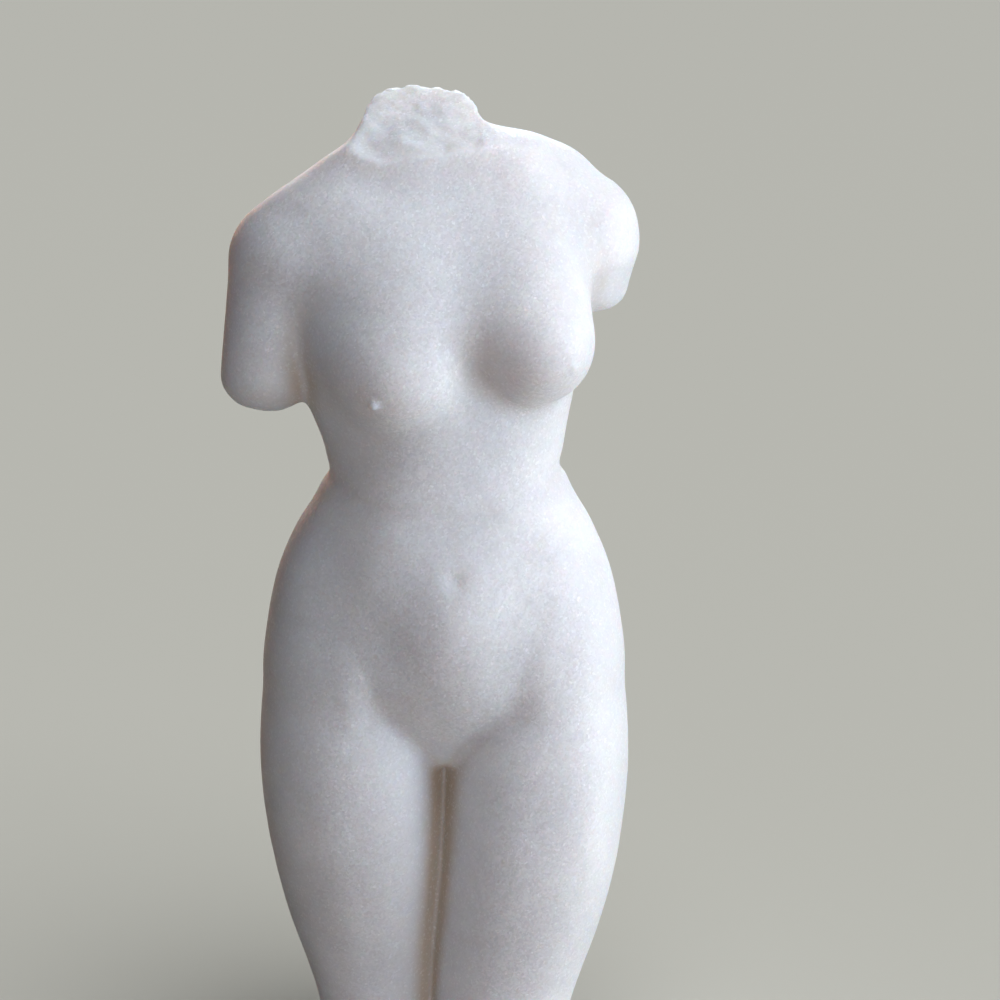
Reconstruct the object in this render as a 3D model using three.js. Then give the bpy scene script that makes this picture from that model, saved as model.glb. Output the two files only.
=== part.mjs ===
// Female torso carved from one block of white marble, standing on a low plain plinth.
// The head is broken off at the neck, both arms are broken off above the elbow, and the
// legs end level on the plinth. Millimetres, +Z up. The figure faces -Y, and the origin is
// the centre of the plinth's underside.

import * as THREE from 'three';

// ---- driving dimensions ----

const PLINTH = { width: 100, depth: 78, height: 14, corner: 3, arris: 1.2 };
const FACET = 5.58;              // spacing of the surface points on the carved body
const SHOULDER_TILT = 7.5;      // degrees, the shoulder at -X is the lower one
const CHEST_TURN = 15;          // degrees, the chest turns towards +X
const CHEST_X = -6;             // centre of the chest
const WAIST_Z = 212;            // below it the body stands level, above it the chest tilts
const CHEST_Z = 256;            // from here up the tilt is complete

const FOOT_ROUND = 0.5;         // rounding of the lower rim, where the legs are cut level

// Break across the neck: a point on its face, its lean to the front, rounding of its rim.
const NECK_BREAK = { point: [-7, 0, 331.2], lean: 35, round: 2 };
// Ovals up the body: height, centre x, centre y, half-width, half-depth, turn, squareness.
const TRUNK = [
  [117.0, -1.0, -6.0, 8.0, 12.0, 0, 2.0],       // end hidden between the thighs
  [127.0, -1.0, -5.0, 24.0, 20.0, 0, 2.0],      // crotch
  [136.0, -1.0, -3.0, 42.5, 27.0, 0, 2.2],
  [148.0, -0.5, -1.0, 55.0, 32.0, 1, 2.4],
  [164.0, -0.5, 1.0, 57.4, 34.0, 3, 2.4],       // hips
  [182.0, -0.8, 0.5, 55.4, 34.0, 6, 2.2],
  [200.0, -0.8, -1.0, 48.0, 30.5, 9, 2.1],
  [218.0, -0.5, -2.0, 40.0, 28.0, 12, 2.1],     // waist
  [236.0, -0.5, -1.0, 43.4, 29.5, 14, 2.1],
  [254.0, -1.5, 1.0, 47.2, 32.0, CHEST_TURN, 2.15],
  [272.0, -3.0, 3.0, 49.0, 33.0, CHEST_TURN, 2.15],   // armpits
  [288.0, -3.5, 4.5, 52.0, 30.0, CHEST_TURN, 2.1],
  [300.0, -4.0, 5.5, 54.5, 26.0, CHEST_TURN, 2.0],
  [309.0, -4.7, 5.5, 53.2, 22.0, CHEST_TURN, 2.0],
  [316.0, -5.4, 5.0, 46.5, 19.5, CHEST_TURN, 2.0],    // slope of the shoulders
  [320.5, -6.0, 4.0, 38.0, 18.5, 13, 2.0],
  [324.5, -7.6, 2.5, 30.0, 17.0, 12, 2.0],
  [328.6, -9.2, 1.5, 22.8, 16.0, 12, 2.1],
  [333.0, -8.4, 1.0, 19.8, 15.6, 8, 2.5],       // neck
  [352.0, -8.0, 0.0, 20.4, 16.0, 4, 2.8],
];
const LEG_AT_MINUS_X = [
  [6.0, -21.0, 3.7, 19.8, 22.2, 0, 2.3],        // below the level of the cut
  [34.0, -23.2, 3.0, 21.8, 25.0, 0, 2.3],
  [60.0, -26.7, 2.0, 26.6, 29.0, 0, 2.3],
  [84.0, -29.4, 1.0, 29.9, 33.0, 0, 2.3],
  [108.0, -31.2, 1.0, 31.6, 34.5, 0, 2.2],
  [132.0, -32.0, 2.0, 30.9, 33.5, 0, 2.1],      // top of the thigh
  [152.0, -31.0, 3.0, 29.0, 30.0, 0, 2.0],
  [172.0, -28.0, 4.0, 25.0, 24.0, 0, 2.0],
  [192.0, -26.0, 4.0, 14.0, 15.0, 0, 2.0],      // end hidden inside the hips
];
const LEG_AT_PLUS_X = [
  [6.0, 15.6, -7.7, 21.3, 23.2, 0, 2.2],        // below the level of the cut
  [34.0, 18.3, -7.0, 24.3, 26.0, 0, 2.2],
  [60.0, 23.2, -5.0, 28.5, 30.0, 0, 2.2],
  [84.0, 27.2, -3.0, 30.7, 33.0, 0, 2.2],
  [108.0, 29.5, 0.0, 31.5, 34.5, 0, 2.2],
  [132.0, 30.7, 2.0, 30.3, 33.5, 0, 2.1],       // top of the thigh
  [152.0, 29.5, 3.0, 28.0, 30.0, 0, 2.0],
  [172.0, 26.5, 4.0, 24.0, 24.0, 0, 2.0],
  [192.0, 25.0, 4.0, 14.0, 15.0, 0, 2.0],       // end hidden inside the hips
];

const BELLY = { centre: [2, -9, 166], radii: [31, 29, 37], turn: 8 };
const PUBIS = { centre: [-1.5, -11, 150], radii: [28, 21, 18.5] };
const BUTTOCK = { x: 26, y: 17, z: 139, radii: [28, 27, 30] };
const NAVEL = { centre: [3.6, -38.8, 186], radii: [2.2, 4, 2.8] };

// Each breast is a round lower form with a longer, flatter one that rises to the chest.
const BREASTS = [
  { centre: [-17.6, -22, 253], radii: [21.5, 21.5, 19.5], rise: [2.5, 4, 12],
    nipple: [-22.6, -41.4, 244.6] },
  { centre: [29.6, -18.8, 260.6], radii: [18.7, 19, 18.5], rise: [-3, 5, 11],
    nipple: [41.6, -31.6, 255.2] },
];
const BREAST_SLOPE = -20;       // degrees, lean of the long upper form
const NIPPLE_RADII = [1.4, 1.6, 1.4];

// Arms: shoulder end and lower end with their radii, a bridge to the neck, the break below.
const ARM_AT_MINUS_X = {
  shoulder: [-54, -5, 286.5, 16.6], lower: [-59.3, -8, 248, 14.9],
  bridge: [[-52, -4, 289.5, 16.3], [-32, 1, 303.5, 17]],
  breakZ: 235, breakX: -60, breakSlope: 0.12, breakRound: 20,
};
const ARM_AT_PLUS_X = {
  shoulder: [45.3, 15, 288.5, 18.6], lower: [44.3, 18, 277, 16.8],
  bridge: [[44.8, 14, 295.5, 18.2], [24, 8, 311.5, 15.5]],
  breakZ: 266, breakX: 45, breakSlope: 0, breakRound: 12,
};

// Shallow hollows in the front: centre, radii and depth.
const FILLET = { arm: 8, armToChest: 16, breast: 10, breastTop: 12, nipple: 2, navel: 6 };
const HOLLOWS = [
  { centre: [-36, -24, 188], radii: [14, 16, 32], depth: 3.6 },    // flank beside the belly
  { centre: [28, -22, 194], radii: [8, 14, 22], depth: 0.6 },      // beside the belly
  { centre: [0, -30, 202], radii: [22, 14, 6], depth: 0.6 },       // above the belly
  { centre: [-25, -12, 310], radii: [13, 10, 9], depth: 3.5 },     // above the collarbone
];
const SPINE = { z: [130, 200, 256, 300, 340], x: [0, -1, -3, -5, -7], width: 8, depth: 2.2 };

// ---- smooth shapes as signed distances in millimetres, negative inside ----

const radians = THREE.MathUtils.degToRad;

function ease(from, to, value) {
  return THREE.MathUtils.smootherstep(value, from, to);
}

// Union of two distances, with a fillet of about the given size where they meet.
function join(a, b, fillet) {
  const h = Math.max(fillet - Math.abs(a - b), 0) / fillet;
  return Math.min(a, b) - h * h * h * fillet / 6;
}

// What two shapes have in common, with the edge rounded.
function trim(a, b, round) {
  return -join(-a, -b, round);
}

// Natural cubic spline through the points (xs, ys), level beyond its ends.
function spline(xs, ys) {
  const last = xs.length - 1;
  const bend = new Array(xs.length).fill(0);
  const carry = new Array(xs.length).fill(0);
  for (let i = 1; i < last; i++) {
    const before = xs[i] - xs[i - 1];
    const after = xs[i + 1] - xs[i];
    const change = (ys[i + 1] - ys[i]) / after - (ys[i] - ys[i - 1]) / before;
    const pivot = 2 * (before + after) - before * carry[i - 1];
    carry[i] = after / pivot;
    bend[i] = (6 * change - before * bend[i - 1]) / pivot;
  }
  for (let i = last - 1; i > 0; i--) {
    bend[i] -= carry[i] * bend[i + 1];
  }
  return (at) => {
    const x = THREE.MathUtils.clamp(at, xs[0], xs[last]);
    let i = 0;
    while (i < last - 1 && x >= xs[i + 1]) {
      i += 1;
    }
    const span = xs[i + 1] - xs[i];
    const b = (x - xs[i]) / span;
    const a = 1 - b;
    const curve = (a ** 3 - a) * bend[i] + (b ** 3 - b) * bend[i + 1];
    return a * ys[i] + b * ys[i + 1] + curve * span * span / 6;
  };
}

// A limb through a stack of ovals, rounded off at both ends.
function limb(ovals, endRound) {
  const heights = ovals.map((oval) => oval[0]);
  const curves = [1, 2, 3, 4, 5, 6].map((k) => spline(heights, ovals.map((oval) => oval[k])));
  const bottom = heights[0];
  const top = heights[heights.length - 1];
  return (x, y, z) => {
    const [cx, cy, halfWidth, halfDepth, turn, squareness] = curves.map((curve) => curve(z));
    const cos = Math.cos(radians(turn));
    const sin = Math.sin(radians(turn));
    const u = cos * (x - cx) + sin * (y - cy);
    const v = -sin * (x - cx) + cos * (y - cy);
    const across = Math.abs(u / halfWidth) ** squareness;
    const along = Math.abs(v / halfDepth) ** squareness;
    const reach = (across + along) ** (1 / squareness);
    const radial = reach < 0.05
      ? -Math.min(halfWidth, halfDepth)
      : Math.hypot(u, v) * (1 - 1 / reach);
    return trim(trim(radial, bottom - z, endRound), z - top, endRound);
  };
}

// An ellipsoid with an optional turn about Z and lean about X, in degrees.
function ellipsoid(centre, radii, turn = 0, lean = 0) {
  const pose = new THREE.Euler(radians(lean), 0, radians(turn), 'ZYX');
  const back = new THREE.Quaternion().setFromEuler(pose).invert();
  const middle = new THREE.Vector3(...centre);
  const size = new THREE.Vector3(...radii);
  const p = new THREE.Vector3();
  return (x, y, z) => {
    p.set(x, y, z).sub(middle).applyQuaternion(back).divide(size);
    const reach = p.length();
    return reach * (reach - 1) / Math.max(p.divide(size).length(), 1e-9);
  };
}

// A round-ended bar between two [x, y, z, radius] ends.
function bar(from, to) {
  const start = new THREE.Vector3(...from);
  const run = new THREE.Vector3(...to).sub(start);
  const p = new THREE.Vector3();
  return (x, y, z) => {
    p.set(x, y, z).sub(start);
    const t = THREE.MathUtils.clamp(p.dot(run) / run.lengthSq(), 0, 1);
    return p.addScaledVector(run, -t).length() - THREE.MathUtils.lerp(from[3], to[3], t);
  };
}

// A soft bump of height 1 at its centre.
function bump({ centre, radii }) {
  return (x, y, z) => Math.exp(
    -(((x - centre[0]) / radii[0]) ** 2)
    - ((y - centre[1]) / radii[1]) ** 2
    - ((z - centre[2]) / radii[2]) ** 2,
  );
}

// ---- the figure ----

// Height measured along the tilted chest.
function tiltedHeight(x, z) {
  return z - Math.tan(radians(SHOULDER_TILT)) * (x - CHEST_X) * ease(WAIST_Z, CHEST_Z, z);
}

function trunkShape() {
  const core = limb(TRUNK, 6);
  const belly = ellipsoid(BELLY.centre, BELLY.radii, BELLY.turn);
  const pubis = ellipsoid(PUBIS.centre, PUBIS.radii);
  return (x, y, z) => {
    const withBelly = join(core(x, y, tiltedHeight(x, z)), belly(x, y, z), 8);
    return join(withBelly, pubis(x, y, z), 10);
  };
}

// Both legs with the buttocks above them, and a crisp groove where the thighs meet.
function legsShape() {
  const [minus, plus] = [[LEG_AT_MINUS_X, -1], [LEG_AT_PLUS_X, 1]].map(([ovals, side]) => {
    const leg = limb(ovals, 10);
    const buttock = ellipsoid([side * BUTTOCK.x, BUTTOCK.y, BUTTOCK.z], BUTTOCK.radii);
    return (x, y, z) => join(leg(x, y, z), buttock(x, y, z), 16);
  });
  return (x, y, z) => join(minus(x, y, z), plus(x, y, z), 2.5);
}

// The trunk meets the thighs in a crease at the groin and flows into them elsewhere.
function hipFillet(x, y, z) {
  const side = ease(18, 36, Math.abs(x)) * ease(100, 132, z);
  const rear = ease(-5, 15, y) * ease(140, 160, z);
  return 5 + 14 * Math.max(side, rear, ease(140, 170, z));
}

function armShape(arm) {
  const upper = bar(arm.shoulder, arm.lower);
  const bridge = bar(...arm.bridge);
  return (x, y, z) => {
    const whole = join(upper(x, y, z), bridge(x, y, z), 8);
    const broken = arm.breakZ - z - arm.breakSlope * (x - arm.breakX);
    return trim(whole, broken, arm.breakRound);
  };
}

function breastShape({ centre, radii, rise }) {
  const lower = ellipsoid(centre, radii);
  const upper = ellipsoid(
    [centre[0] + rise[0], centre[1] + rise[1], centre[2] + rise[2]],
    [radii[0], radii[1] * 0.85, radii[2] * 1.5],
    0,
    BREAST_SLOPE,
  );
  return (x, y, z) => join(lower(x, y, z), upper(x, y, z), 14);
}

function figureShape() {
  const trunk = trunkShape();
  const legs = legsShape();
  const arms = [ARM_AT_MINUS_X, ARM_AT_PLUS_X].map(armShape);
  const breasts = BREASTS.map(breastShape);
  const nipples = BREASTS.map(({ nipple }) => ellipsoid(nipple, NIPPLE_RADII));
  const navel = ellipsoid(NAVEL.centre, NAVEL.radii);
  const hollows = HOLLOWS.map((hollow) => ({ depth: hollow.depth, at: bump(hollow) }));
  const spineX = spline(SPINE.z, SPINE.x);
  const lean = radians(NECK_BREAK.lean);
  const neckBreak = new THREE.Plane().setFromNormalAndCoplanarPoint(
    new THREE.Vector3(0, -Math.sin(lean), Math.cos(lean)),
    new THREE.Vector3(...NECK_BREAK.point),
  );
  const point = new THREE.Vector3();
  return (x, y, z) => {
    let body = join(trunk(x, y, z), legs(x, y, z), hipFillet(x, y, z));
    const chestFront = ease(262, 288, z) * (1 - ease(-14, 4, y));
    for (const arm of arms) {
      body = join(body, arm(x, y, z), FILLET.arm + FILLET.armToChest * chestFront);
    }
    const softness = FILLET.breast + FILLET.breastTop * ease(246, 272, tiltedHeight(x, z));
    for (const breast of breasts) {
      body = join(body, breast(x, y, z), softness);
    }
    for (const nipple of nipples) {
      body = join(body, nipple(x, y, z), FILLET.nipple);
    }
    body = trim(body, -navel(x, y, z), FILLET.navel);
    const alongBack = ease(8, 20, y) * ease(150, 190, z) * (1 - ease(290, 320, z));
    body += SPINE.depth * alongBack * Math.exp(-(((x - spineX(z)) / SPINE.width) ** 2));
    for (const hollow of hollows) {
      body += hollow.depth * hollow.at(x, y, z);
    }
    body = trim(body, neckBreak.distanceToPoint(point.set(x, y, z)), NECK_BREAK.round);
    return trim(body, PLINTH.height - z, FOOT_ROUND);
  };
}

// ---- from the smooth shape to a closed faceted solid ----

// Slope of the shape at a point: it points out of the solid, with a length of about 1.
function slopeAt(shape, { x, y, z }) {
  const probe = 0.1;
  return new THREE.Vector3(
    shape(x + probe, y, z) - shape(x - probe, y, z),
    shape(x, y + probe, z) - shape(x, y - probe, z),
    shape(x, y, z + probe) - shape(x, y, z - probe),
  ).divideScalar(2 * probe);
}

// Moves a point along the slope of the shape until it lies on the surface.
function settle(shape, point) {
  for (let pass = 0; pass < 2; pass++) {
    const slope = slopeAt(shape, point);
    const move = THREE.MathUtils.clamp(shape(point.x, point.y, point.z), -FACET / 3, FACET / 3);
    point.addScaledVector(slope, -move / Math.max(slope.lengthSq(), 0.25));
  }
  return point;
}

// The point that lies best on all the tangent planes at some surface points, and close to
// their mean. On an edge it falls on the edge, so broken rims stay crisp.
function meetingPoint(shape, points) {
  const mean = new THREE.Vector3();
  points.forEach((point) => mean.addScaledVector(point, 1 / points.length));
  const pull = 0.05;
  const planes = [pull, 0, 0, 0, pull, 0, 0, 0, pull];
  const target = new THREE.Vector3();
  for (const point of points) {
    const normal = slopeAt(shape, point).normalize();
    const n = normal.toArray();
    planes.forEach((value, cell) => {
      planes[cell] = value + n[cell % 3] * n[Math.floor(cell / 3)];
    });
    target.addScaledVector(normal, normal.dot(point.clone().sub(mean)));
  }
  const shift = target.applyMatrix3(new THREE.Matrix3().fromArray(planes).invert());
  return mean.add(shift.clampLength(0, 0.8 * FACET));
}

// One point for each grid cell that the surface crosses, and two triangles for each grid
// edge that it crosses.
function skin(shape, box, step) {
  const size = box.getSize(new THREE.Vector3());
  const count = [size.x, size.y, size.z].map((length) => Math.ceil(length / step) + 1);
  const corner = (i, j, k) => [box.min.x + i * step, box.min.y + j * step, box.min.z + k * step];
  const index = (i, j, k) => (k * count[1] + j) * count[0] + i;
  const values = new Float64Array(count[0] * count[1] * count[2]);
  for (let k = 0; k < count[2]; k++) {
    for (let j = 0; j < count[1]; j++) {
      for (let i = 0; i < count[0]; i++) {
        values[index(i, j, k)] = shape(...corner(i, j, k));
      }
    }
  }

  const positions = [];
  const pointOf = new Map();
  const axes = [[1, 0, 0], [0, 1, 0], [0, 0, 1]];

  // The surface point of a cell, from the places where the surface crosses its edges.
  function cellPoint(i, j, k) {
    const crossings = [];
    for (let axis = 0; axis < 3; axis++) {
      for (let side = 0; side < 4; side++) {
        const start = [i, j, k];
        start[(axis + 1) % 3] += side & 1;
        start[(axis + 2) % 3] += side >> 1;
        const end = start.map((value, n) => value + axes[axis][n]);
        const a = values[index(...start)];
        const b = values[index(...end)];
        if ((a < 0) !== (b < 0)) {
          const from = new THREE.Vector3(...corner(...start));
          const to = new THREE.Vector3(...corner(...end));
          crossings.push(settle(shape, from.lerp(to, a / (a - b))));
        }
      }
    }
    return meetingPoint(shape, crossings);
  }

  function pointIndex(i, j, k) {
    const cell = index(i, j, k);
    if (!pointOf.has(cell)) {
      pointOf.set(cell, positions.length / 3);
      positions.push(...cellPoint(i, j, k).toArray());
    }
    return pointOf.get(cell);
  }

  const triangles = [];
  for (let k = 1; k < count[2] - 1; k++) {
    for (let j = 1; j < count[1] - 1; j++) {
      for (let i = 1; i < count[0] - 1; i++) {
        const here = values[index(i, j, k)] < 0;
        for (let axis = 0; axis < 3; axis++) {
          const next = [i, j, k].map((value, n) => value + axes[axis][n]);
          const there = values[index(...next)] < 0;
          if (here !== there) {
            const u = axes[(axis + 1) % 3];
            const v = axes[(axis + 2) % 3];
            const ring = [[1, 1], [0, 1], [0, 0], [1, 0]].map(([a, b]) => pointIndex(
              i - a * u[0] - b * v[0],
              j - a * u[1] - b * v[1],
              k - a * u[2] - b * v[2],
            ));
            if (there) {
              ring.reverse();
            }
            triangles.push(...splitQuad(positions, ring));
          }
        }
      }
    }
  }
  return closedGeometry(new Float32Array(positions), new Uint32Array(triangles));
}

// Splits a four-sided facet along its shorter diagonal.
function splitQuad(positions, [a, b, c, d]) {
  const point = (n) => new THREE.Vector3().fromArray(positions, 3 * n);
  const short = point(a).distanceTo(point(c)) <= point(b).distanceTo(point(d));
  return short ? [a, b, c, a, c, d] : [a, b, d, b, c, d];
}

function closedGeometry(positions, triangles) {
  const geometry = new THREE.BufferGeometry();
  geometry.setAttribute('position', new THREE.BufferAttribute(positions, 3));
  geometry.setIndex(new THREE.BufferAttribute(triangles, 1));
  return geometry;
}

// Brings the points that lie close to the foot level exactly onto it.
function levelFoot(geometry) {
  const points = geometry.attributes.position;
  for (let i = 0; i < points.count; i++) {
    if (Math.abs(points.getZ(i) - PLINTH.height) < FACET / 4) {
      points.setZ(i, PLINTH.height);
    }
  }
  return geometry;
}

// The lowest two layers of the grid straddle the foot level closely, for a crisp lower rim.
function torsoGeometry() {
  const room = new THREE.Box3(
    new THREE.Vector3(-86, -60, PLINTH.height + 0.3 - 2 * FACET),
    new THREE.Vector3(78, 56, 352),
  );
  return levelFoot(skin(figureShape(), room, FACET));
}

// ---- the plinth ----

// A low block with rounded corners and a narrow bevel on its upper and lower edges.
function plinthGeometry() {
  const { width, depth, height, corner, arris } = PLINTH;
  const x = width / 2 - arris;
  const y = depth / 2 - arris;
  const outline = new THREE.Shape();
  const corners = [[x, -y, -90], [x, y, 0], [-x, y, 90], [-x, -y, 180]];
  for (const [cx, cy, from] of corners) {
    const start = radians(from);
    const inset = [Math.sign(cx) * corner, Math.sign(cy) * corner];
    outline.absarc(cx - inset[0], cy - inset[1], corner, start, start + Math.PI / 2, false);
  }
  outline.closePath();
  return new THREE.ExtrudeGeometry(outline, {
    depth: height - 2 * arris,
    curveSegments: 6,
    bevelSize: arris,
    bevelThickness: arris,
    bevelSegments: 2,
  }).translate(0, 0, arris);
}

// ---- the object ----

const marble = new THREE.MeshStandardMaterial({ color: 0xe6e5e4, roughness: 0.5, metalness: 0 });

function piece(name, geometry) {
  const mesh = new THREE.Mesh(geometry, marble);
  mesh.name = name;
  return mesh;
}

const group = new THREE.Group();
group.add(piece('plinth', plinthGeometry()), piece('torso', torsoGeometry()));

export default group;
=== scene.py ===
# Headless female torso of white crystalline marble on a low marble plinth, on a pale floor.
# Blender works in metres. The forms of the carving are given in millimetres.

import math

import bpy
import numpy as np
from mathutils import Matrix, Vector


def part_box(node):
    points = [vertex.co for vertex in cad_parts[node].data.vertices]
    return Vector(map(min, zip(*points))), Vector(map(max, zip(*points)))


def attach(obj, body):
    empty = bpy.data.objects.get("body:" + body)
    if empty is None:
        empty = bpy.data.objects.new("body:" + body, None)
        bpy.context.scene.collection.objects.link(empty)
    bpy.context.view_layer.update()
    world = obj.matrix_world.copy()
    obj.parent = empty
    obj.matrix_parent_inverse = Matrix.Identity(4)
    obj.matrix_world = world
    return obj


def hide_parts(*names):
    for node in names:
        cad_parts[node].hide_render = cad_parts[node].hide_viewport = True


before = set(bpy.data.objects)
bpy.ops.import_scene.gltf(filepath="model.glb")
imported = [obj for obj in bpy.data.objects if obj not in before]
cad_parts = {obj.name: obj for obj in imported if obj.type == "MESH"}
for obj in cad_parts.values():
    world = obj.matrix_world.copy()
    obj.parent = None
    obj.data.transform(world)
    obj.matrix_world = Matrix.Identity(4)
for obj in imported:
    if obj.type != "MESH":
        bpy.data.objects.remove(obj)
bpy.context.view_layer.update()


# ---- Torso ----
# One block of white crystalline marble, carved in the round and rubbed down to a soft sheen.
# The head is broken off at the neck and both arms above the elbow. The legs stand on the plinth.

# Ovals up the body: height, centre x, centre y, half-width, half-depth, turn, squareness.
TRUNK = (
    (117.0, -1.0, -6.0, 8.0, 12.0, 0, 2.0),      # end hidden between the thighs
    (127.0, -1.0, -5.0, 24.0, 20.0, 0, 2.0),     # crotch
    (136.0, -1.0, -3.0, 42.5, 27.0, 0, 2.2),
    (148.0, -0.5, -1.0, 55.0, 32.0, 1, 2.4),
    (164.0, -0.5, 1.0, 57.4, 34.0, 3, 2.4),      # hips
    (182.0, -0.8, 0.5, 55.4, 34.0, 6, 2.2),
    (200.0, -0.8, -1.0, 48.0, 30.5, 9, 2.1),
    (218.0, -0.5, -2.0, 40.0, 28.0, 12, 2.1),    # waist
    (236.0, -0.5, -1.0, 43.4, 29.5, 14, 2.1),
    (254.0, -1.5, 1.0, 47.2, 32.0, 15, 2.15),
    (272.0, -3.0, 3.0, 49.0, 33.0, 15, 2.15),    # armpits
    (288.0, -3.5, 4.5, 52.0, 30.0, 15, 2.1),
    (300.0, -4.0, 5.5, 54.5, 26.0, 15, 2.0),
    (309.0, -4.7, 5.5, 53.2, 22.0, 15, 2.0),
    (316.0, -5.4, 5.0, 46.5, 19.5, 15, 2.0),     # slope of the shoulders
    (320.5, -6.0, 4.0, 38.0, 18.5, 13, 2.0),
    (324.5, -7.6, 2.5, 30.0, 17.0, 12, 2.0),
    (328.6, -9.2, 1.5, 22.8, 16.0, 12, 2.1),
    (333.0, -8.4, 1.0, 19.8, 15.6, 8, 2.5),      # neck
    (352.0, -8.0, 0.0, 20.4, 16.0, 4, 2.8),
)
LEG_AT_MINUS_X = (
    (6.0, -21.0, 3.7, 19.8, 22.2, 0, 2.3),       # below the level of the cut
    (34.0, -23.2, 3.0, 21.8, 25.0, 0, 2.3),
    (60.0, -26.7, 2.0, 26.6, 29.0, 0, 2.3),
    (84.0, -29.4, 1.0, 29.9, 33.0, 0, 2.3),
    (108.0, -31.2, 1.0, 31.6, 34.5, 0, 2.2),
    (132.0, -32.0, 2.0, 30.9, 33.5, 0, 2.1),     # top of the thigh
    (152.0, -31.0, 3.0, 29.0, 30.0, 0, 2.0),
    (172.0, -28.0, 4.0, 25.0, 24.0, 0, 2.0),
    (192.0, -26.0, 4.0, 14.0, 15.0, 0, 2.0),     # end hidden inside the hips
)
LEG_AT_PLUS_X = (
    (6.0, 15.6, -7.7, 21.3, 23.2, 0, 2.2),       # below the level of the cut
    (34.0, 18.3, -7.0, 24.3, 26.0, 0, 2.2),
    (60.0, 23.2, -5.0, 28.5, 30.0, 0, 2.2),
    (84.0, 27.2, -3.0, 30.7, 33.0, 0, 2.2),
    (108.0, 29.5, 0.0, 31.5, 34.5, 0, 2.2),
    (132.0, 30.7, 2.0, 30.3, 33.5, 0, 2.1),      # top of the thigh
    (152.0, 29.5, 3.0, 28.0, 30.0, 0, 2.0),
    (172.0, 26.5, 4.0, 24.0, 24.0, 0, 2.0),
    (192.0, 25.0, 4.0, 14.0, 15.0, 0, 2.0),      # end hidden inside the hips
)
SHOULDER_TILT = 7.5             # degrees, the shoulder at -X is the lower one
CHEST_X = -6.0
WAIST_Z, CHEST_Z = 212.0, 256.0             # the tilt grows between these heights
FOOT_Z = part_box("plinth")[1][2] * 1000.0    # the legs stand on the plinth here
FOOT_ARRIS = 0.4
NECK_BREAK = (-7.0, 0.0, 331.2)             # a point on the broken face
NECK_LEAN = 35.0                            # degrees, the broken face leans to the front
NECK_RIM = 1.2

# Forms that the trunk and the legs carry: centre, then radii.
BELLY = ((2.0, -9.0, 166.0), (31.0, 29.0, 37.0))
BELLY_TURN = 8.0                            # degrees
PUBIS = ((-1.5, -11.0, 150.0), (28.0, 21.0, 18.5))
BUTTOCKS = (((-26.0, 17.0, 139.0), (28.0, 27.0, 30.0)),
            ((26.0, 17.0, 139.0), (28.0, 27.0, 30.0)))
NAVEL = ((3.6, -38.8, 186.0), (2.2, 4.0, 2.8))
NIPPLES = (((-22.6, -41.4, 244.6), (1.4, 1.6, 1.4)),
           ((41.6, -31.6, 255.2), (1.4, 1.6, 1.4)))

# Each breast: centre, radii, and how far its upper form lies from the lower one.
BREASTS = (
    ((-17.6, -22.0, 253.0), (21.5, 21.5, 19.5), (2.5, 4.0, 12.0)),
    ((29.6, -18.8, 260.6), (18.7, 19.0, 18.5), (-3.0, 5.0, 11.0)),
)
BREAST_TOP_LEAN = -20.0                     # degrees, the upper form lies back
BREAST_TOP_STRETCH = (1.0, 0.85, 1.5)       # radii of the upper form against the lower one's

# Each arm: the stump, then the bridge to the neck, by their ends (x, y, z, radius).
ARM_AT_MINUS_X = (
    ((-54.0, -5.0, 286.5, 16.6), (-59.3, -8.0, 248.0, 14.9)),
    ((-52.0, -4.0, 289.5, 16.3), (-32.0, 1.0, 303.5, 17.0)),
)
ARM_AT_PLUS_X = (
    ((45.3, 15.0, 288.5, 18.6), (44.3, 18.0, 277.0, 16.8)),
    ((44.8, 14.0, 295.5, 18.2), (24.0, 8.0, 311.5, 15.5)),
)
STUMP_END_Z = (235.0, 266.0)                # heights of the broken ends, at -X and at +X
STUMP_END_SLOPE = 0.12                      # the end at -X rises away from the body
STUMP_MIDDLE_X = -60.0

# Shallow hollows: centre, radii, depth.
HOLLOWS = (
    ((-36.0, -24.0, 188.0), (14.0, 16.0, 32.0), 3.6),    # flank beside the belly
    ((28.0, -22.0, 194.0), (8.0, 14.0, 22.0), 0.6),      # beside the belly
    ((0.0, -30.0, 202.0), (22.0, 14.0, 6.0), 0.6),       # above the belly
    ((-25.0, -12.0, 310.0), (13.0, 10.0, 9.0), 3.5),     # above the collarbone
)
SPINE_Z, SPINE_X = (130, 200, 256, 300, 340), (0, -1, -3, -5, -7)
SPINE_DEPTH, SPINE_WIDTH = 2.2, 8.0
FOLD_Z, FOLD_RISE, FOLD_WIDTH = 204.0, 14.0, 3.4         # the fold round the waist
FOLD_X, FOLD_SPAN = -1.0, 40.0                           # its lowest point, and its half-span
FOLD_DEPTH = (0.35, 1.1)                                 # in front, and more at the sides

# How softly one form runs into the next, in millimetres.
FILLET = {"belly": 8.0, "pubis": 10.0, "buttock": 16.0, "legs": 2.5, "groin": 5.0, "hip": 14.0,
          "arm": 8.0, "arm to chest": 16.0, "breast": 10.0, "breast top": 12.0,
          "breast forms": 14.0, "nipple": 2.0, "navel": 6.0}
END_ROUND = {"trunk": 6.0, "leg": 10.0, "stump at -X": 20.0, "stump at +X": 12.0}


def ease(low, high, value):
    t = np.clip((value - low) / (high - low), 0.0, 1.0)
    return t * t * t * (t * (6.0 * t - 15.0) + 10.0)


def join(a, b, fillet):
    """Union of two distances, with a fillet of about that size where they meet."""
    h = np.maximum(fillet - np.abs(a - b), 0.0) / fillet
    return np.minimum(a, b) - h * h * h * fillet / 6.0


def trim(a, b, rounding):
    """What two shapes have in common, with the edge rounded."""
    return -join(-a, -b, rounding)


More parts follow.
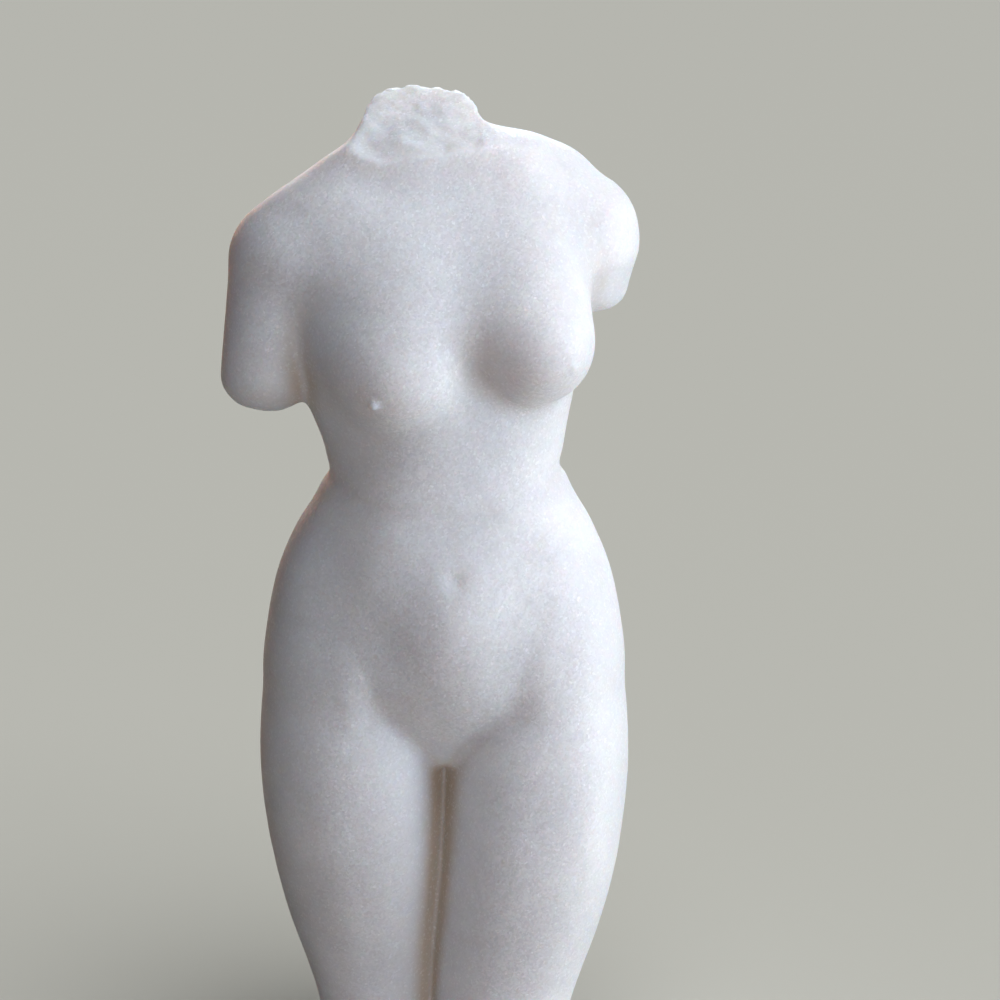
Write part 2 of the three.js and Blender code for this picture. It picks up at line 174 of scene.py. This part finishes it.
def spline(stations, values):
    """Natural cubic spline through the stations, level beyond its ends."""
    s = np.array(stations, float)
    v = np.array(values, float)
    last = len(s) - 1
    span = np.diff(s)
    matrix = np.eye(last + 1)
    change = np.zeros(last + 1)
    for i in range(1, last):
        matrix[i, i - 1:i + 2] = span[i - 1], 2.0 * (span[i - 1] + span[i]), span[i]
        change[i] = 6.0 * ((v[i + 1] - v[i]) / span[i] - (v[i] - v[i - 1]) / span[i - 1])
    bend = np.linalg.solve(matrix, change)

    def curve(at):
        at = np.clip(at, s[0], s[-1])
        i = np.clip(np.searchsorted(s, at, side="right") - 1, 0, last - 1)
        b = (at - s[i]) / span[i]
        a = 1.0 - b
        arch = (a ** 3 - a) * bend[i] + (b ** 3 - b) * bend[i + 1]
        return a * v[i] + b * v[i + 1] + arch * span[i] ** 2 / 6.0

    return curve


def limb(ovals, end_round, x, y, z):
    """A limb through a stack of ovals, rounded off at both ends."""
    rows = np.array(ovals)
    cx, cy, half_width, half_depth, turn, squareness = (
        spline(rows[:, 0], rows[:, k])(z) for k in range(1, 7))
    cos = np.cos(np.radians(turn))
    sin = np.sin(np.radians(turn))
    u = cos * (x - cx) + sin * (y - cy)
    v = -sin * (x - cx) + cos * (y - cy)
    reach = (np.abs(u / half_width) ** squareness + np.abs(v / half_depth) ** squareness)
    reach = np.maximum(reach, 1e-9) ** (1.0 / squareness)
    radial = np.hypot(u, v) * (1.0 - 1.0 / reach)
    radial = np.where(reach < 0.05, -np.minimum(half_width, half_depth), radial)
    return trim(trim(radial, rows[0, 0] - z, end_round), z - rows[-1, 0], end_round)


def ellipsoid(centre, radii, x, y, z, turn=0.0, lean=0.0):
    """An ellipsoid turned about Z or leaning about X, in degrees."""
    p = np.stack([x - centre[0], y - centre[1], z - centre[2]])
    cos, sin = math.cos(math.radians(turn)), math.sin(math.radians(turn))
    p = np.stack([cos * p[0] + sin * p[1], -sin * p[0] + cos * p[1], p[2]])
    cos, sin = math.cos(math.radians(lean)), math.sin(math.radians(lean))
    p = np.stack([p[0], cos * p[1] + sin * p[2], -sin * p[1] + cos * p[2]])
    size = np.array(radii).reshape(3, 1)
    reach = np.linalg.norm(p / size, axis=0)
    return reach * (reach - 1.0) / np.maximum(np.linalg.norm(p / size ** 2, axis=0), 1e-9)


def bar(start, end, x, y, z):
    """A round-ended bar between two (x, y, z, radius) ends."""
    run = np.subtract(end[:3], start[:3])
    p = np.stack([x - start[0], y - start[1], z - start[2]], axis=-1)
    t = np.clip(p @ run / (run @ run), 0.0, 1.0)
    away = np.linalg.norm(p - t[:, None] * run, axis=-1)
    return away - (start[3] + (end[3] - start[3]) * t)


def bump(centre, radii, x, y, z):
    """A soft bump of height 1 at its centre."""
    return np.exp(-((x - centre[0]) / radii[0]) ** 2 - ((y - centre[1]) / radii[1]) ** 2
                  - ((z - centre[2]) / radii[2]) ** 2)


def lumps(x, y, z, size, seed):
    """Smooth random lumps between -1 and 1, about that many millimetres across."""
    p = [x / size, y / size, z / size]
    cell = [np.floor(c).astype(np.int64) for c in p]
    part = [c - f for c, f in zip(p, cell)]
    part = [t * t * (3.0 - 2.0 * t) for t in part]
    total = np.zeros_like(x)
    for corner in range(8):
        step = [(corner >> k) & 1 for k in range(3)]
        weight = np.ones_like(x)
        key = np.full(x.shape, seed * 7919, np.int64)
        for k, prime in enumerate((73856093, 19349663, 83492791)):
            weight = weight * (part[k] if step[k] else 1.0 - part[k])
            key = key ^ ((cell[k] + step[k]) * prime)
        key = (key ^ (key >> 13)) * 1274126177 & 0xFFFFFFFF
        key = (key ^ (key >> 16)) * 668265263 & 0xFFFFFFFF
        total += weight * ((key >> 8) / float(1 << 24))
    return 2.0 * total - 1.0


def trunk_shape(x, y, z, tilted):
    core = limb(TRUNK, END_ROUND["trunk"], x, y, tilted)
    belly = ellipsoid(*BELLY, x, y, z, turn=BELLY_TURN)
    core = join(core, belly, FILLET["belly"])
    return join(core, ellipsoid(*PUBIS, x, y, z), FILLET["pubis"])


def legs_shape(x, y, z):
    """Both legs with the buttocks above them, and a crisp groove where the thighs meet."""
    sides = []
    for ovals, buttock in zip((LEG_AT_MINUS_X, LEG_AT_PLUS_X), BUTTOCKS):
        leg = limb(ovals, END_ROUND["leg"], x, y, z)
        sides.append(join(leg, ellipsoid(*buttock, x, y, z), FILLET["buttock"]))
    return join(sides[0], sides[1], FILLET["legs"])


def hip_fillet(x, y, z):
    """The trunk meets the thighs in a crease at the groin and flows into them elsewhere."""
    side = ease(18.0, 36.0, np.abs(x)) * ease(100.0, 132.0, z)
    rear = ease(-5.0, 15.0, y) * ease(140.0, 160.0, z)
    flow = np.maximum(np.maximum(side, rear), ease(140.0, 170.0, z))
    return FILLET["groin"] + FILLET["hip"] * flow


def stump_ends(x, z):
    """Distances below the broken ends of the two stumps, before any chips."""
    return STUMP_END_Z[0] - z - STUMP_END_SLOPE * (x - STUMP_MIDDLE_X), STUMP_END_Z[1] - z


def arm_shapes(x, y, z):
    """The two stumps, each with a bridge that carries the shoulder to the neck."""
    minus, plus = (join(bar(*stump, x, y, z), bar(*bridge, x, y, z), FILLET["arm"])
                   for stump, bridge in (ARM_AT_MINUS_X, ARM_AT_PLUS_X))
    chips = 0.7 * lumps(x, y, z, 7.0, 3) + 0.35 * lumps(x, y, z, 3.0, 4)
    below_minus, below_plus = stump_ends(x, z)
    return (trim(minus, below_minus + chips, END_ROUND["stump at -X"]),
            trim(plus, below_plus + 0.4 * chips, END_ROUND["stump at +X"]))


def breast_shape(centre, radii, rise, x, y, z):
    """A round lower form with a longer, flatter one that rises to the chest."""
    lower = ellipsoid(centre, radii, x, y, z)
    upper = ellipsoid(np.add(centre, rise), np.multiply(radii, BREAST_TOP_STRETCH),
                      x, y, z, lean=BREAST_TOP_LEAN)
    return join(lower, upper, FILLET["breast forms"])


def neck_break(x, y, z):
    """Distance above the broken face of the neck, which is rough and chipped at its rim."""
    lean = math.radians(NECK_LEAN)
    above = -math.sin(lean) * (y - NECK_BREAK[1]) + math.cos(lean) * (z - NECK_BREAK[2])
    rough = 0.9 * lumps(x, y, z, 11.0, 5) + 0.55 * lumps(x, y, z, 5.0, 6)
    return above + rough + 0.35 * lumps(x, y, z, 2.6, 7)


def waist_and_spine(x, y, z):
    """Depth of the groove down the spine and of the fold round the front of the waist."""
    along = ease(8.0, 20.0, y) * ease(150.0, 190.0, z) * (1.0 - ease(290.0, 320.0, z))
    spine = along * np.exp(-((x - spline(SPINE_Z, SPINE_X)(z)) / SPINE_WIDTH) ** 2)
    above = z - FOLD_Z - FOLD_RISE * np.minimum(np.abs(x - FOLD_X) / FOLD_SPAN, 1.2) ** 2
    side = ease(20.0, 42.0, np.abs(x)) * (1.0 - ease(12.0, 30.0, y))
    fold = (FOLD_DEPTH[0] + FOLD_DEPTH[1] * side) * np.exp(-(above / FOLD_WIDTH) ** 2)
    return SPINE_DEPTH * spine + fold * (1.0 - ease(15.0, 30.0, y))


def figure_shape(x, y, z):
    """Distance to the whole figure, negative inside."""
    lean = math.tan(math.radians(SHOULDER_TILT)) * ease(WAIST_Z, CHEST_Z, z)
    tilted = z - lean * (x - CHEST_X)
    body = join(trunk_shape(x, y, z, tilted), legs_shape(x, y, z), hip_fillet(x, y, z))
    chest_front = ease(262.0, 288.0, z) * (1.0 - ease(-14.0, 4.0, y))
    for arm in arm_shapes(x, y, z):
        body = join(body, arm, FILLET["arm"] + FILLET["arm to chest"] * chest_front)
    softness = FILLET["breast"] + FILLET["breast top"] * ease(246.0, 272.0, tilted)
    for centre, radii, rise in BREASTS:
        body = join(body, breast_shape(centre, radii, rise, x, y, z), softness)
    for nipple in NIPPLES:
        body = join(body, ellipsoid(*nipple, x, y, z), FILLET["nipple"])
    body = trim(body, -ellipsoid(*NAVEL, x, y, z), FILLET["navel"])
    body = body + waist_and_spine(x, y, z)
    for centre, radii, depth in HOLLOWS:
        body = body + depth * bump(centre, radii, x, y, z)
    uneven = 0.12 * lumps(x, y, z, 16.0, 1) + 0.05 * lumps(x, y, z, 6.0, 2)
    body = body + uneven
    body = trim(body, neck_break(x, y, z), NECK_RIM)
    return trim(body, FOOT_Z - z, FOOT_ARRIS)


def skin(shape, low, high, step):
    """A closed skin of four-sided facets over a shape, from a grid of that step."""
    block = 4                     # grid steps in one block of the first, coarse look
    margin = 1.5                  # blocks kept to either side of the surface
    blocks = np.ceil((np.subtract(high, low)) / (step * block)).astype(int)
    count = blocks * block + 1

    def place(index):
        return [low[k] + step * index[k] for k in range(3)]

    middles = np.indices(blocks).reshape(3, -1)
    coarse = shape(*place(middles * block + block / 2.0)).reshape(blocks)
    near = np.abs(coarse) < step * block * margin
    for k in range(3):
        coarse = np.repeat(coarse, block, axis=k)
        near = np.repeat(near, block, axis=k)
    coarse = np.pad(coarse, ((0, 1),) * 3, mode="edge")
    near = np.pad(near, ((0, 1),) * 3, mode="edge")
    index = np.array(np.nonzero(near))
    values = np.where(coarse < 0.0, -1.0, 1.0)
    values[tuple(index)] = shape(*place(index))
    inside = values < 0.0

    # One point for each cell that the surface crosses, at the mean of its crossings.
    cells = np.zeros(count - 1, np.int8)
    corners = [np.array([(c >> k) & 1 for k in range(3)]) for c in range(8)]
    for corner in corners:
        cells += inside[tuple(slice(o, o + n) for o, n in zip(corner, count - 1))]
    crossed = np.array(np.nonzero((cells > 0) & (cells < 8)))
    number = np.full(count - 1, -1)
    number[tuple(crossed)] = np.arange(crossed.shape[1])
    total = np.zeros((3, crossed.shape[1]))
    hits = np.zeros(crossed.shape[1])
    for axis in range(3):
        for corner in corners:
            if corner[axis]:
                continue
            start = crossed + corner[:, None]
            end = start.copy()
            end[axis] += 1
            a = values[tuple(start)]
            b = values[tuple(end)]
            hit = (a < 0.0) != (b < 0.0)
            spot = start.astype(float)
            spot[axis] += np.where(hit, a / np.where(hit, a - b, 1.0), 0.0)
            total += spot * hit
            hits += hit
    points = np.array(place(total / hits))

    # Each point slides along the slope of the shape onto the surface.
    probe = 0.2                   # how far off the slope is felt
    flattest = 0.25               # least slope, squared, that a point moves by
    for _ in range(2):
        here = shape(*points)
        slope = np.array([(shape(*(points + probe * np.eye(3)[:, k:k + 1])) - here) / probe
                          for k in range(3)])
        move = np.clip(here, -step / 2.0, step / 2.0)
        points = points - slope * move / np.maximum((slope ** 2).sum(axis=0), flattest)

    # One facet round each grid edge that the surface crosses.
    faces = []
    for axis in range(3):
        u, v = np.eye(3, dtype=int)[(axis + 1) % 3], np.eye(3, dtype=int)[(axis + 2) % 3]
        start = [slice(1, n - 1) for n in count]
        end = list(start)
        end[axis] = slice(2, count[axis])
        a = inside[tuple(start)]
        b = inside[tuple(end)]
        for leaving in (True, False):
            edge = np.array(np.nonzero(a & ~b if leaving else ~a & b)) + 1
            ring = [number[tuple(edge - i * u[:, None] - j * v[:, None])]
                    for i, j in ((1, 1), (0, 1), (0, 0), (1, 0))]
            faces.append(np.stack(ring if leaving else ring[::-1], axis=1))
    return points.T, np.concatenate(faces)


SKIN_STEP = 1.25          # spacing of the points on the skin, in millimetres
SKIN_LOW = (-84.0, -60.0, FOOT_Z + 0.1 - 2.0 * SKIN_STEP)
SKIN_HIGH = (78.0, 56.0, 350.0)
points, faces = skin(figure_shape, SKIN_LOW, SKIN_HIGH, SKIN_STEP)
points[np.abs(points[:, 2] - FOOT_Z) < FOOT_ARRIS, 2] = FOOT_Z
torso_mesh = bpy.data.meshes.new("torso_carved")
torso_mesh.from_pydata((points / 1000.0).tolist(), [], faces.tolist())
torso_mesh.shade_smooth()
torso_mesh.update()
torso = bpy.data.objects.new("torso_carved", torso_mesh)
bpy.context.scene.collection.objects.link(torso)
print("torso", len(points), "points", len(faces), "facets")
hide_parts("torso")
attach(torso, "root")

# Where the stone is broken, for the finish below, and how deep it lies in grooves and hollows, for
# the shade painted into its colour below.
x, y, z = points.T
normals = np.zeros(len(torso_mesh.vertices) * 3)
torso_mesh.vertex_normals.foreach_get("vector", normals)
normals = normals.reshape(-1, 3).T
broken = 1.0 - ease(0.4, 2.2, np.abs(neck_break(x, y, z)))
for on_arm, below in zip((x < -40.0, x > 34.0), stump_ends(x, z)):
    broken = np.maximum(broken, on_arm * (1.0 - ease(1.0, 4.0, np.abs(below))))
# Painted shade: how far down in a groove or hollow each point lies, looked for at several reaches.
painted_shade = np.zeros_like(x)
PAINTED_SHADE_REACHES = (3.0, 8.0, 18.0)       # how far out from the surface the stone is looked for
for reach in PAINTED_SHADE_REACHES:
    out = figure_shape(*(points.T + normals * reach))
    painted_shade += np.clip(1.0 - out / reach, 0.0, 1.0) / len(PAINTED_SHADE_REACHES)
for name, mask in (("broken", broken), ("painted_shade", painted_shade)):
    torso_mesh.attributes.new(name, "FLOAT", "POINT").data.foreach_set("value", mask)


# The finish: helpers for building it, then the crystals, the clouds and the material.
def add(tree, kind, inputs=(), **settings):
    """A new node with its settings, and each input either linked or given a value."""
    node = tree.nodes.new("ShaderNode" + kind)
    for name, value in settings.items():
        setattr(node, name, value)
    for name, value in dict(inputs).items():
        if isinstance(value, bpy.types.NodeSocket):
            tree.links.new(value, node.inputs[name])
        else:
            node.inputs[name].default_value = value
    return node


def maths(tree, operation, a, b=0.0):
    return add(tree, "Math", {0: a, 1: b}, operation=operation).outputs[0]


def scaled(tree, value, low, high, to_low, to_high):
    return add(tree, "MapRange", {"Value": value, "From Min": low, "From Max": high,
                                  "To Min": to_low, "To Max": to_high}).outputs["Result"]


def mixed(tree, amount, a, b, blend="MIX"):
    node = tree.nodes.new("ShaderNodeMix")
    node.data_type = "RGBA"
    node.blend_type = blend
    for socket, value in ((node.inputs[0], amount), (node.inputs[6], a), (node.inputs[7], b)):
        if isinstance(value, bpy.types.NodeSocket):
            tree.links.new(value, socket)
        else:
            socket.default_value = value
    return node.outputs[2]


def new_group(name, inputs, outputs):
    """An empty node group with its inputs (name, value) and its outputs (name, kind)."""
    tree = bpy.data.node_groups.new(name, "ShaderNodeTree")
    for socket, value in inputs:
        made = tree.interface.new_socket(socket, in_out="INPUT", socket_type="NodeSocketFloat")
        made.default_value = value
    for socket, kind in outputs:
        tree.interface.new_socket(socket, in_out="OUTPUT", socket_type="NodeSocket" + kind)
    return tree, tree.nodes.new("NodeGroupInput").outputs, tree.nodes.new("NodeGroupOutput").inputs


# Crystals of the marble: each has its own tone, and its face leans its own way.
crystals, given, gives = new_group(
    "marble_crystals",
    (("Crystals per metre", 900.0), ("Lean", 0.2), ("Tone spread", 0.08)),
    (("Tone", "Float"), ("Gloss and painted glint", "Float"), ("Normal", "Vector")))
place = add(crystals, "TexCoord").outputs["Object"]
wander = add(crystals, "TexNoise", {"Vector": place, "Scale": 500.0, "Detail": 1.0})
wander = add(crystals, "VectorMath", {0: wander.outputs["Color"], 1: (0.0012, 0.0012, 0.0012)},
             operation="MULTIPLY").outputs[0]
place = add(crystals, "VectorMath", {0: place, 1: wander}, operation="ADD").outputs[0]
cells = add(crystals, "TexVoronoi", {"Vector": place, "Scale": given["Crystals per metre"]})
chance = add(crystals, "SeparateColor", {"Color": cells.outputs["Color"]}).outputs
spread = maths(crystals, "MULTIPLY", scaled(crystals, chance[0], 0.0, 1.0, -1.0, 1.0),
               given["Tone spread"])
crystals.links.new(maths(crystals, "ADD", spread, 1.0), gives["Tone"])
# A few crystals are marked: they are glossier, and they are whitened in the colour as a painted
# glint.
crystals.links.new(scaled(crystals, chance[1], 0.80, 1.0, 0.0, 1.0), gives["Gloss and painted glint"])
lean = add(crystals, "VectorMath", {0: cells.outputs["Color"], 1: (0.5, 0.5, 0.5)},
           operation="SUBTRACT").outputs[0]
lean = add(crystals, "VectorMath", {0: lean, "Scale": given["Lean"]},
           operation="SCALE").outputs[0]
facing = add(crystals, "NewGeometry").outputs["Normal"]
facing = add(crystals, "VectorMath", {0: facing, 1: lean}, operation="ADD").outputs[0]
facing = add(crystals, "VectorMath", {0: facing}, operation="NORMALIZE").outputs[0]
crystals.links.new(facing, gives["Normal"])

# Clouds in the stone: wide pale and grey patches, and thin soft veins between them.
clouds, given, gives = new_group(
    "marble_clouds", (("Clouds per metre", 28.0), ("Veins per metre", 11.0)),
    (("Cloud", "Float"), ("Vein", "Float")))
place = add(clouds, "TexCoord").outputs["Object"]
cloud = add(clouds, "TexNoise", {"Vector": place, "Scale": given["Clouds per metre"],
                                 "Detail": 4.0, "Roughness": 0.55, "Distortion": 0.6})
clouds.links.new(scaled(clouds, cloud.outputs["Fac"], 0.32, 0.68, 0.0, 1.0), gives["Cloud"])
vein = add(clouds, "TexNoise", {"Vector": place, "Scale": given["Veins per metre"],
                                "Detail": 5.0, "Roughness": 0.6, "Distortion": 1.4})
vein = maths(clouds, "ABSOLUTE", maths(clouds, "SUBTRACT", vein.outputs["Fac"], 0.5))
clouds.links.new(scaled(clouds, vein, 0.0, 0.02, 1.0, 0.0), gives["Vein"])

MARBLE_WHITE = (0.80, 0.79, 0.78, 1.0)
MARBLE_GREY = (0.70, 0.69, 0.69, 1.0)
VEIN_GREY = (0.55, 0.53, 0.50, 1.0)
PAINTED_SHADE_TAN = (0.56, 0.45, 0.34, 1.0)      # painted shade in grooves and hollows, warm like light come through the stone
PAINTED_GLINT_WHITE = (1.0, 1.0, 1.0, 1.0)
MARBLE_GLOW = (1.0, 0.50, 0.28)         # how far each colour of light spreads in the stone

torso_marble = bpy.data.materials.new("torso_marble_carved")
torso_marble.use_nodes = True
tree = torso_marble.node_tree
surface = tree.nodes["Principled BSDF"]
grain = add(tree, "Group", node_tree=crystals)
grain.inputs["Crystals per metre"].default_value = 1500.0
grain.inputs["Lean"].default_value = 0.16
grain.inputs["Tone spread"].default_value = 0.03
body = add(tree, "Group", node_tree=clouds)
colour = mixed(tree, body.outputs["Cloud"], MARBLE_GREY, MARBLE_WHITE)
colour = mixed(tree, maths(tree, "MULTIPLY", body.outputs["Vein"], 0.12), colour, VEIN_GREY)
painted_shade_mask = add(tree, "Attribute", attribute_name="painted_shade").outputs["Fac"]
broken_mask = add(tree, "Attribute", attribute_name="broken").outputs["Fac"]
# Painted shade: the stone deep in grooves and hollows is darkened to a warm tan in its colour.
colour = mixed(tree, scaled(tree, painted_shade_mask, 0.12, 0.62, 0.0, 0.8), colour, PAINTED_SHADE_TAN)
# Painted glint: the marked crystals are whitened in the colour, besides being glossier below.
colour = mixed(tree, maths(tree, "MULTIPLY", grain.outputs["Gloss and painted glint"], 0.25), colour, PAINTED_GLINT_WHITE)
tone = add(tree, "CombineColor", {"Red": grain.outputs["Tone"], "Green": grain.outputs["Tone"],
                                  "Blue": grain.outputs["Tone"]}).outputs[0]
colour = mixed(tree, 1.0, colour, tone, "MULTIPLY")
tree.links.new(colour, surface.inputs["Base Color"])
rough = scaled(tree, grain.outputs["Gloss and painted glint"], 0.0, 1.0, 0.55, 0.28)
tree.links.new(maths(tree, "ADD", rough, maths(tree, "MULTIPLY", broken_mask, 0.1)),
               surface.inputs["Roughness"])
tree.links.new(grain.outputs["Normal"], surface.inputs["Normal"])
surface.inputs["Subsurface Weight"].default_value = 0.55
surface.inputs["Subsurface Radius"].default_value = MARBLE_GLOW
surface.inputs["Subsurface Scale"].default_value = 0.02
surface.inputs["IOR"].default_value = 1.5
torso_mesh.materials.append(torso_marble)


# ---- Plinth ----
# A low slab of the same marble, sawn square with its corners and arrises rubbed round.
# The torso stands on its top.

plinth_marble = torso_marble.copy()
plinth_marble.name = "plinth_marble_rubbed"
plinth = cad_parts["plinth"]
for slot in plinth.material_slots:
    slot.material = plinth_marble


# ---- Floor ----
# A wide pale floor under everything, which also fills the view behind the torso.
# It sends no light back up to the torso.

FLOOR_REACH = 30.0                # metres from the middle to each side
floor_corners = [(across * FLOOR_REACH, along * FLOOR_REACH, 0.0)
                 for across, along in ((-1, -1), (1, -1), (1, 1), (-1, 1))]
floor_mesh = bpy.data.meshes.new("floor")
floor_mesh.from_pydata(floor_corners, [], [(0, 1, 2, 3)])
floor = bpy.data.objects.new("floor", floor_mesh)
bpy.context.scene.collection.objects.link(floor)
floor_paint = bpy.data.materials.new("floor_pale")
floor_paint.use_nodes = True
paint = floor_paint.node_tree.nodes["Principled BSDF"]
paint.inputs["Base Color"].default_value = (0.57, 0.57, 0.52, 1.0)
paint.inputs["Roughness"].default_value = 0.9
floor_mesh.materials.append(floor_paint)
floor.visible_diffuse = False
floor.visible_shadow = False


# ---- Light and camera ----
# Soft lights shaped like windows, most of them at +X, light the torso and the plinth. A wide
# far light is for the floor alone. A long lens looks down a little from the front.

world = bpy.data.worlds.new("fill")
world.use_nodes = True
world.node_tree.nodes["Background"].inputs["Color"].default_value = (0.9, 0.95, 1.0, 1.0)
world.node_tree.nodes["Background"].inputs["Strength"].default_value = 0.02
bpy.context.scene.world = world


# Each light's kind, turn from the front and height in degrees, distance in metres, width
# (metres, or an angle for the far one), strength and colour.
LIGHTS = {
    "floor_light": ("SUN", 40.0, 60.0, 1.0, math.radians(60.0), 3.0, (1.0, 1.0, 1.0)),
    "window_low": ("AREA", 85.0, -15.0, 0.7, 0.45, 2.5, (0.97, 1.0, 0.97)),
    "window_middle": ("AREA", 72.0, 12.0, 0.7, 0.40, 2.6, (0.64, 0.77, 1.0)),
    "window_high": ("AREA", 75.0, 60.0, 0.7, 0.40, 2.1, (1.0, 0.92, 0.84)),
    "ceiling": ("AREA", 20.0, 72.0, 1.0, 0.6, 3.1, (0.60, 0.78, 1.0)),
    "behind": ("AREA", 180.0, 35.0, 1.5, 0.8, 18.0, (0.70, 0.86, 1.0)),
    "room": ("AREA", -150.0, 20.0, 1.5, 0.8, 5.0, (1.0, 0.50, 0.25)),
    "front": ("AREA", 5.0, -10.0, 1.5, 0.8, 7.2, (1.0, 0.96, 1.0)),
}
LIGHTS_AIM_Z = 0.2

on_floor = bpy.data.collections.new("on_floor")
on_floor.objects.link(floor)
lit = bpy.data.collections.new("lit_by_boxes")
for piece in (torso, plinth):
    lit.objects.link(piece)
for name, (kind, turn, height, distance, width, strength, colour) in LIGHTS.items():
    turn, height = math.radians(turn), math.radians(height)
    data = bpy.data.lights.new(name, kind)
    data.energy = strength
    data.color = colour
    lamp = bpy.data.objects.new(name, data)
    across = distance * math.cos(height)
    lamp.location = (across * math.sin(turn), -across * math.cos(turn),
                     LIGHTS_AIM_Z + distance * math.sin(height))
    lamp.rotation_euler = (math.radians(90.0) - height, 0.0, turn)
    bpy.context.scene.collection.objects.link(lamp)
    if kind == "SUN":
        data.angle = width
        lamp.light_linking.receiver_collection = on_floor
    else:
        data.size = width
        lamp.visible_camera = False
        lamp.light_linking.receiver_collection = lit

CAMERA_AIM_X, CAMERA_AIM_Z = 0.018, 0.205
CAMERA_DISTANCE = 1.184
CAMERA_DOWN = math.radians(12.0)
camera_data = bpy.data.cameras.new("camera")
camera_data.lens = 85.0
camera_data.sensor_width = 24.0
camera = bpy.data.objects.new("camera", camera_data)
camera.location = (CAMERA_AIM_X, -CAMERA_DISTANCE * math.cos(CAMERA_DOWN),
                   CAMERA_AIM_Z + CAMERA_DISTANCE * math.sin(CAMERA_DOWN))
camera.rotation_euler = (math.radians(90.0) - CAMERA_DOWN, 0.0, 0.0)
bpy.context.scene.collection.objects.link(camera)
bpy.context.scene.camera = camera
bpy.context.scene.view_settings.view_transform = "Standard"
